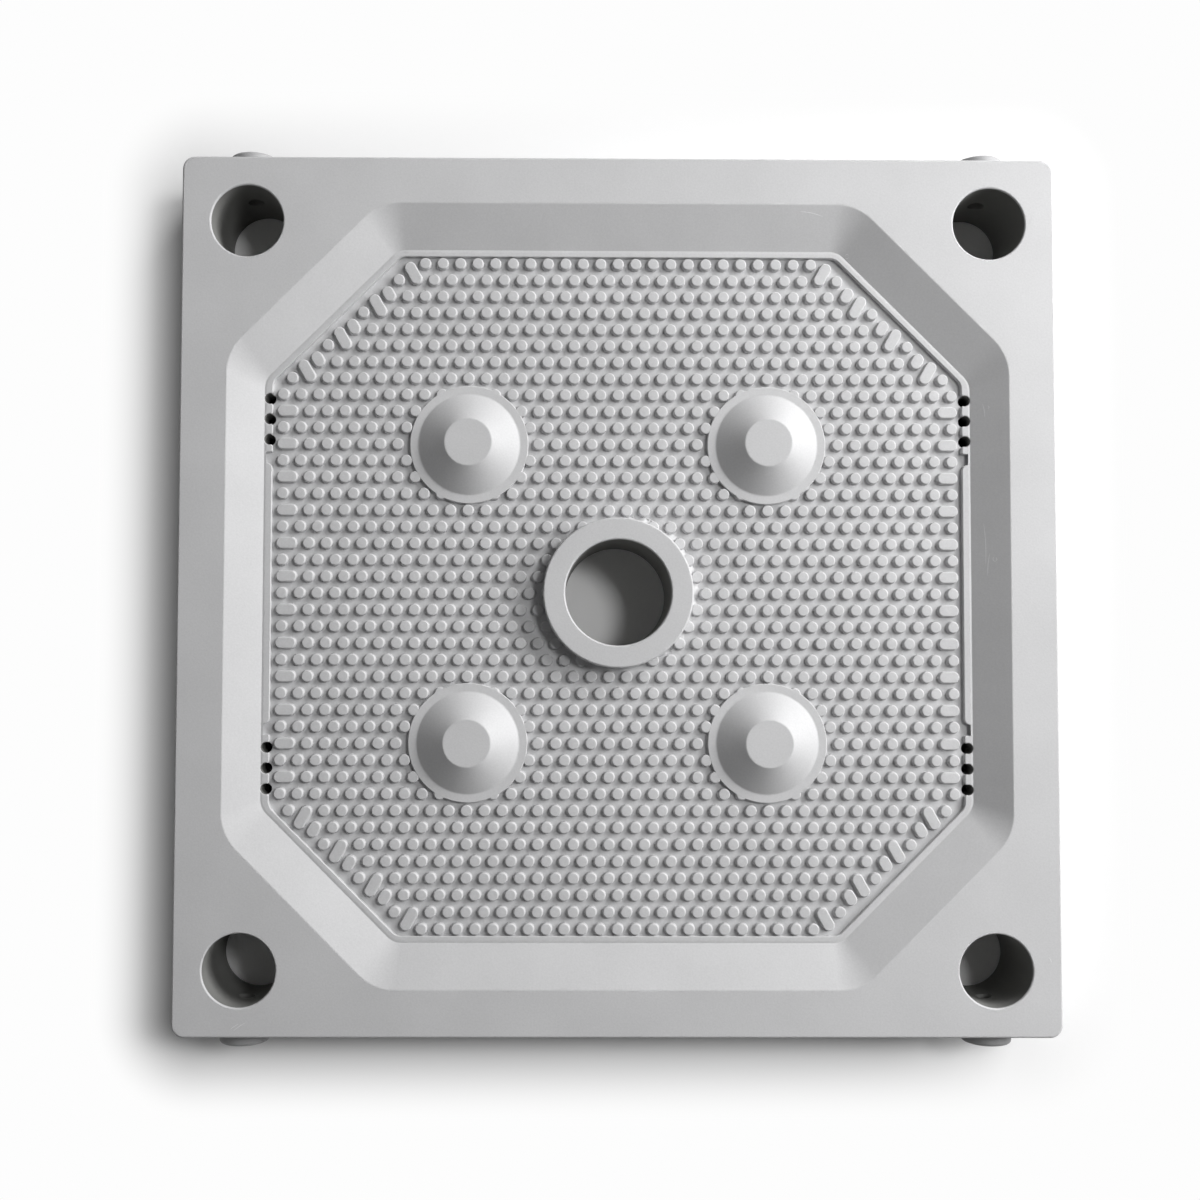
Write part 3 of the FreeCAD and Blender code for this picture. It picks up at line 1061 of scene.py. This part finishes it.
def studio_camera():
    """Camera almost straight above the plate's middle, as the photo was taken."""
    data = bpy.data.cameras.new("camera")
    data.lens = 38.95
    data.shift_x, data.shift_y = 0.0255, 0.0247
    data.clip_end = 30.0
    camera = add_object("camera", data)
    camera.location = (-0.0417, -0.0628, 0.9954)
    camera.rotation_euler = [math.radians(angle) for angle in (2.23, -0.42, 0.13)]
    bpy.context.scene.camera = camera


class PRESSPLATE_OT_stage(Operator):
    """Add the floor, the lamps and the camera"""

    bl_idname = "pressplate.stage"
    bl_label = "Studio"

    def execute(self, context):
        scene = context.scene
        studio, finish = scene.plate_studio, scene.plate_finish
        mesh = bpy.data.meshes.new("studio_floor")
        corners = at_height(QUARTERS * FLOOR_REACH, -FLOOR_GAP)
        mesh.from_pydata(corners.tolist(), [], [(0, 1, 2, 3)])
        mesh.materials.append(floor_material(finish.floor, scene.plate_body.width / 2))
        floor = add_object("studio_floor", mesh)
        small, wide = (studio.high_size, studio.high_size), (studio.low_width, studio.low_height)
        high = area_lamp("high_lamp", HIGH_LAMP, small, studio.high_power)
        low = area_lamp("low_lamp", LOW_LAMP, wide, studio.low_power)
        studio_world(studio.ambient)
        studio_camera()
        scene.view_settings.view_transform = "Standard"
        return {"FINISHED"}


class PRESSPLATE_PT_sidebar(Panel):
    """Sizes, finishes and the operators that use them"""

    bl_idname = "PRESSPLATE_PT_sidebar"
    bl_label = "Press plate"
    bl_space_type = "VIEW_3D"
    bl_region_type = "UI"
    bl_category = "Press plate"

    def draw(self, context):
        for operator in OPERATORS:
            self.layout.operator(operator.bl_idname)
        for name, group in GROUPS.items():
            box = self.layout.box()
            box.label(text=group.__doc__)
            for item in group.__annotations__:
                box.prop(getattr(context.scene, name), item)


GROUPS = {
    "plate_body": BodySizes,
    "plate_drains": DrainSizes,
    "plate_bosses": BossSizes,
    "plate_pips": PipSizes,
    "plate_flash": FlashSizes,
    "plate_plugs": PlugSizes,
    "plate_finish": Finishes,
    "plate_studio": Studio,
}
OPERATORS = (
    PRESSPLATE_OT_body, PRESSPLATE_OT_pips, PRESSPLATE_OT_flash, PRESSPLATE_OT_scratches,
    PRESSPLATE_OT_plugs, PRESSPLATE_OT_stage)


def register():
    """Register the classes, and give the scene its settings."""
    for item in (*GROUPS.values(), *OPERATORS, PRESSPLATE_PT_sidebar):
        bpy.utils.register_class(item)
    for name, group in GROUPS.items():
        setattr(bpy.types.Scene, name, PointerProperty(type=group))


def unregister():
    """Take the settings and the classes away."""
    for name in GROUPS:
        delattr(bpy.types.Scene, name)
    for item in (PRESSPLATE_PT_sidebar, *OPERATORS[::-1], *reversed(GROUPS.values())):
        bpy.utils.unregister_class(item)


def main():
    """Dress the plate and build the studio."""
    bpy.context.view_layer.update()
    register()
    bpy.ops.pressplate.body()
    bpy.ops.pressplate.pips()
    bpy.ops.pressplate.flash()
    bpy.ops.pressplate.scratches()
    bpy.ops.pressplate.plugs()
    bpy.ops.pressplate.stage()


if __name__ == "__main__":
    main()
